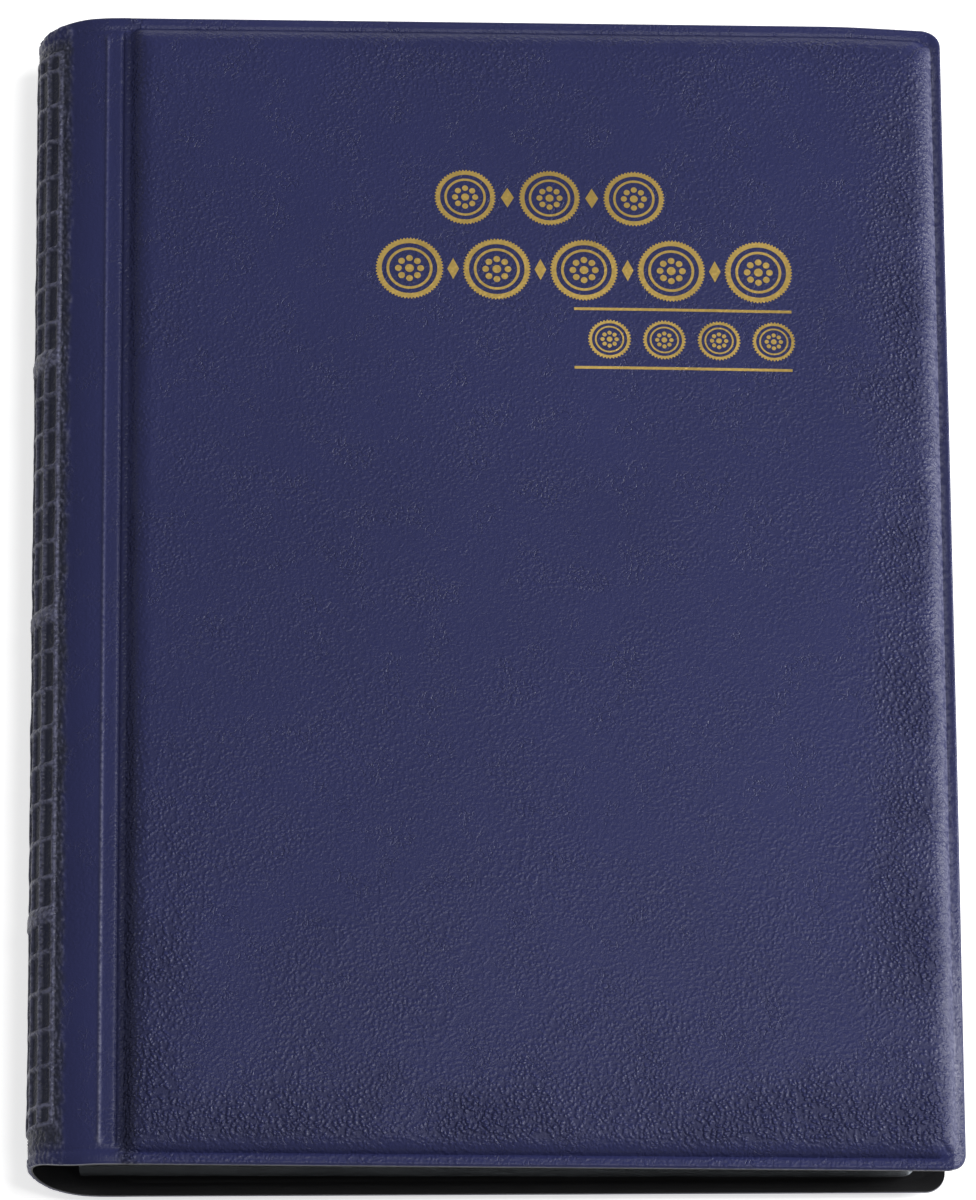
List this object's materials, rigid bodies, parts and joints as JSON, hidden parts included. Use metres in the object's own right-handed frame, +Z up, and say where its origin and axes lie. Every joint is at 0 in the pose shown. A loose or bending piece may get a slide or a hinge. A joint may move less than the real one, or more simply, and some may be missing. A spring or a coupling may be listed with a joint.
{
  "type": "coin album",
  "caption": "Padded coin album: welded leather-grain film covers, an embossed bending spine strip and clear pocket pages that fan open with the cover.",
  "frame": {"origin": "centre of the bounding box of the closed album, on the surface that its back cover lies on", "axes": "+X from the spine to the fore edge, +Y from the tail to the head, +Z up, out of the front cover"},
  "size_m": [0.14, 0.19, 0.0182],
  "materials": {
    "cover_film": "satin",
    "spine_film": "satin",
    "lining_film": "satin",
    "foam": "matte",
    "board": "matte",
    "page_film": "gloss",
    "page_binding": "satin"
  },
  "bodies": {
    "back_cover": {"back_skin": "cover_film", "back_foam": "foam", "back_board": "board", "back_lining": "lining_film"},
    "spine_lower_strip": {"spine_lower_strip_skin": "cover_film", "spine_lower_strip_lining": "lining_film"},
    "spine_lower_rib": {"spine_lower_rib_skin": "spine_film", "spine_lower_rib_lining": "lining_film"},
    "spine_middle": {"spine_middle_skin": "spine_film", "spine_middle_lining": "lining_film", "page_binding": "page_binding"},
    "spine_upper_rib": {"spine_upper_rib_skin": "spine_film", "spine_upper_rib_lining": "lining_film"},
    "spine_upper_strip": {"spine_upper_strip_skin": "cover_film", "spine_upper_strip_lining": "lining_film"},
    "front_cover": {"front_skin": "cover_film", "front_foam": "foam", "front_board": "board", "front_lining": "lining_film"},
    "page_01": {"page_01_backing": "page_film", "page_01_pockets": "page_film"},
    "page_02": {"page_02_backing": "page_film", "page_02_pockets": "page_film"},
    "page_03": {"page_03_backing": "page_film", "page_03_pockets": "page_film"},
    "page_04": {"page_04_backing": "page_film", "page_04_pockets": "page_film"},
    "page_05": {"page_05_backing": "page_film", "page_05_pockets": "page_film"},
    "page_06": {"page_06_backing": "page_film", "page_06_pockets": "page_film"},
    "page_07": {"page_07_backing": "page_film", "page_07_pockets": "page_film"},
    "page_08": {"page_08_backing": "page_film", "page_08_pockets": "page_film"},
    "page_09": {"page_09_backing": "page_film", "page_09_pockets": "page_film"},
    "page_10": {"page_10_backing": "page_film", "page_10_pockets": "page_film"}
  },
  "joints": [
    {"name": "back_groove_fold", "type": "hinge", "parent": "back_cover", "child": "spine_lower_strip", "pos_m": [-0.0566, 0, 0.002], "axis": [0, -1, 0], "range_deg": [0, 10.07]},
    {"name": "lower_border_fold", "type": "hinge", "parent": "spine_lower_strip", "child": "spine_lower_rib", "pos_m": [-0.06631, 0, 0.00354], "axis": [0, -1, 0], "range_deg": [0, 35.49]},
    {"name": "lower_spine_fold", "type": "hinge", "parent": "spine_lower_rib", "child": "spine_middle", "pos_m": [-0.06955, 0, 0.00684], "axis": [0, -1, 0], "range_deg": [0, 44.46]},
    {"name": "upper_spine_fold", "type": "hinge", "parent": "spine_middle", "child": "spine_upper_rib", "pos_m": [-0.06955, 0, 0.01146], "axis": [0, -1, 0], "range_deg": [0, 44.46]},
    {"name": "upper_border_fold", "type": "hinge", "parent": "spine_upper_rib", "child": "spine_upper_strip", "pos_m": [-0.06631, 0, 0.01476], "axis": [0, -1, 0], "range_deg": [0, 35.49]},
    {"name": "front_groove_fold", "type": "hinge", "parent": "spine_upper_strip", "child": "front_cover", "pos_m": [-0.0566, 0, 0.0163], "axis": [0, -1, 0], "range_deg": [0, 11.45]},
    {"name": "page_01_turn", "type": "hinge", "parent": "spine_middle", "child": "page_01", "pos_m": [-0.06269, 0, 0.01299], "axis": [0, -1, 0], "range_deg": [0, 74.9]},
    {"name": "page_02_turn", "type": "hinge", "parent": "spine_middle", "child": "page_02", "pos_m": [-0.06269, 0, 0.01213], "axis": [0, -1, 0], "range_deg": [0, 58.41]},
    {"name": "page_03_turn", "type": "hinge", "parent": "spine_middle", "child": "page_03", "pos_m": [-0.06269, 0, 0.01127], "axis": [0, -1, 0], "range_deg": [0, 41.92]},
    {"name": "page_04_turn", "type": "hinge", "parent": "spine_middle", "child": "page_04", "pos_m": [-0.06269, 0, 0.01042], "axis": [0, -1, 0], "range_deg": [0, 25.43]},
    {"name": "page_05_turn", "type": "hinge", "parent": "spine_middle", "child": "page_05", "pos_m": [-0.06269, 0, 0.00956], "axis": [0, -1, 0], "range_deg": [0, 8.94]},
    {"name": "page_06_turn", "type": "hinge", "parent": "spine_middle", "child": "page_06", "pos_m": [-0.06269, 0, 0.0087], "axis": [0, -1, 0], "range_deg": [-7.56, 0]},
    {"name": "page_07_turn", "type": "hinge", "parent": "spine_middle", "child": "page_07", "pos_m": [-0.06269, 0, 0.00784], "axis": [0, -1, 0], "range_deg": [-24.05, 0]},
    {"name": "page_08_turn", "type": "hinge", "parent": "spine_middle", "child": "page_08", "pos_m": [-0.06269, 0, 0.00699], "axis": [0, -1, 0], "range_deg": [-40.54, 0]},
    {"name": "page_09_turn", "type": "hinge", "parent": "spine_middle", "child": "page_09", "pos_m": [-0.06269, 0, 0.00613], "axis": [0, -1, 0], "range_deg": [-57.03, 0]},
    {"name": "page_10_turn", "type": "hinge", "parent": "spine_middle", "child": "page_10", "pos_m": [-0.06269, 0, 0.00528], "axis": [0, -1, 0], "range_deg": [-73.52, 0]}
  ],
  "couplings": [
    {"joint": "back_groove_fold", "follows": "front_groove_fold", "ratio": 0.8791},
    {"joint": "lower_border_fold", "follows": "front_groove_fold", "ratio": 3.0991},
    {"joint": "lower_spine_fold", "follows": "front_groove_fold", "ratio": 3.8821},
    {"joint": "upper_spine_fold", "follows": "front_groove_fold", "ratio": 3.8821},
    {"joint": "upper_border_fold", "follows": "front_groove_fold", "ratio": 3.0991},
    {"joint": "page_01_turn", "follows": "front_groove_fold", "ratio": 6.5408},
    {"joint": "page_02_turn", "follows": "front_groove_fold", "ratio": 5.1007},
    {"joint": "page_03_turn", "follows": "front_groove_fold", "ratio": 3.6606},
    {"joint": "page_04_turn", "follows": "front_groove_fold", "ratio": 2.2205},
    {"joint": "page_05_turn", "follows": "front_groove_fold", "ratio": 0.78035},
    {"joint": "page_06_turn", "follows": "front_groove_fold", "ratio": -0.65975},
    {"joint": "page_07_turn", "follows": "front_groove_fold", "ratio": -2.0998},
    {"joint": "page_08_turn", "follows": "front_groove_fold", "ratio": -3.54},
    {"joint": "page_09_turn", "follows": "front_groove_fold", "ratio": -4.9801},
    {"joint": "page_10_turn", "follows": "front_groove_fold", "ratio": -6.4202}
  ]
}
